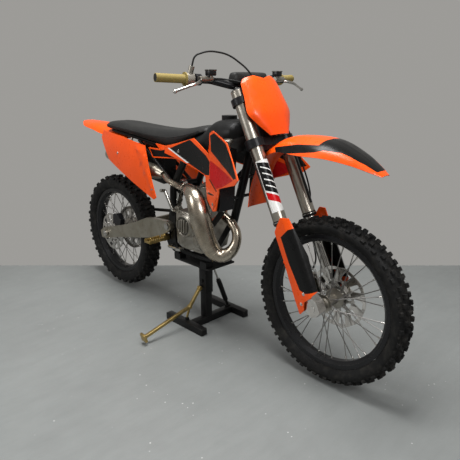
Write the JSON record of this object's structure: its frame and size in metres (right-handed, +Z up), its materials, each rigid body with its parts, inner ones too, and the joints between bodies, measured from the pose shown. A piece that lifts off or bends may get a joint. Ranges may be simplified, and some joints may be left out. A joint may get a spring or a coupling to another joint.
{
  "type": "motocross bike on a lift stand",
  "caption": "Two-wheeled off-road competition motorcycle with knobbly tyres, long-travel fork and expansion-chamber exhaust, held clear of the floor by a lever lift stand.",
  "frame": {"origin": "on the floor, under the middle of the box round the bike and its stand", "axes": "+X forward, +Y to the rider's left, +Z up"},
  "size_m": [2.1554, 0.8072, 1.3072],
  "materials": {
    "black_frame": "satin black powder coat",
    "raw_aluminium": "satin raw",
    "cast_alloy": "cast and bead blasted",
    "black_aluminium": "black anodised",
    "fork_aluminium": "hard anodised, polished",
    "anodised_aluminium": "satin",
    "bright_steel": "brushed",
    "raw_steel": "raw pressed steel with heat tint",
    "chain_steel": "oiled",
    "orange_plastic": "glossy moulded",
    "orange_metal": "powder coat",
    "black_plastic": "moulded",
    "black_vinyl": "smooth gripper cover",
    "black_rubber": "matte",
    "khaki_rubber": "soft",
    "gold_zinc": "yellow zinc plate, worn",
    "tyre": "matte, dusty"
  },
  "bodies": {
    "root": {"frame": "black_frame", "subframe": "black_frame", "swingarm": "raw_aluminium", "pivot_bolt": "bright_steel", "rear_axle": "bright_steel", "chain": "chain_steel", "rear_shock": "bright_steel", "engine_case": "cast_alloy", "engine_covers": "cast_alloy", "cylinder": "cast_alloy", "cylinder_head": "cast_alloy", "carburettor": "cast_alloy", "airbox": "black_plastic", "exhaust_pipe": "raw_steel", "silencer": "raw_aluminium", "radiators": "black_aluminium", "shroud_left": "orange_plastic", "shroud_right": "orange_plastic", "fuel_tank": "black_plastic", "tank_cap": "black_plastic", "seat": "black_vinyl", "side_panel_left": "orange_plastic", "side_panel_right": "orange_plastic", "rear_fender": "orange_plastic", "rear_caliper": "black_aluminium", "footpegs": "bright_steel", "foot_controls": "bright_steel", "engine_stay": "orange_metal", "stand_frame": "black_frame", "stand_head": "black_rubber", "stand_lever": "gold_zinc", "stand_strut": "black_frame"},
    "steering": {"triple_clamps": "black_aluminium", "fork_tubes": "fork_aluminium", "fork_legs": "bright_steel", "fork_guards": "orange_plastic", "front_fender": "orange_plastic", "number_plate": "orange_plastic", "handlebar": "black_aluminium", "bar_pad": "black_vinyl", "grips": "khaki_rubber", "hand_controls": "cast_alloy", "throttle_housing": "cast_alloy", "cables": "black_rubber", "front_axle": "bright_steel", "front_caliper": "cast_alloy"},
    "front_wheel": {"front_tyre": "tyre", "front_rim": "black_aluminium", "front_hub": "cast_alloy", "front_disc": "bright_steel"},
    "rear_wheel": {"rear_tyre": "tyre", "rear_rim": "black_aluminium", "rear_hub": "cast_alloy", "rear_disc": "bright_steel", "rear_sprocket": "anodised_aluminium"}
  },
  "joints": [
    {"name": "steering", "type": "hinge", "parent": "root", "child": "steering", "pos_m": [0.3856, 0, 0.9434], "axis": [-0.4399, 0, 0.898], "range_deg": [-42, 42]},
    {"name": "front_wheel_spin", "type": "hinge", "parent": "steering", "child": "front_wheel", "pos_m": [0.73325, 0, 0.3565], "axis": [0, 1, 0], "continuous": true},
    {"name": "rear_wheel_spin", "type": "hinge", "parent": "root", "child": "rear_wheel", "pos_m": [-0.74675, 0, 0.343], "axis": [0, 1, 0], "continuous": true}
  ]
}
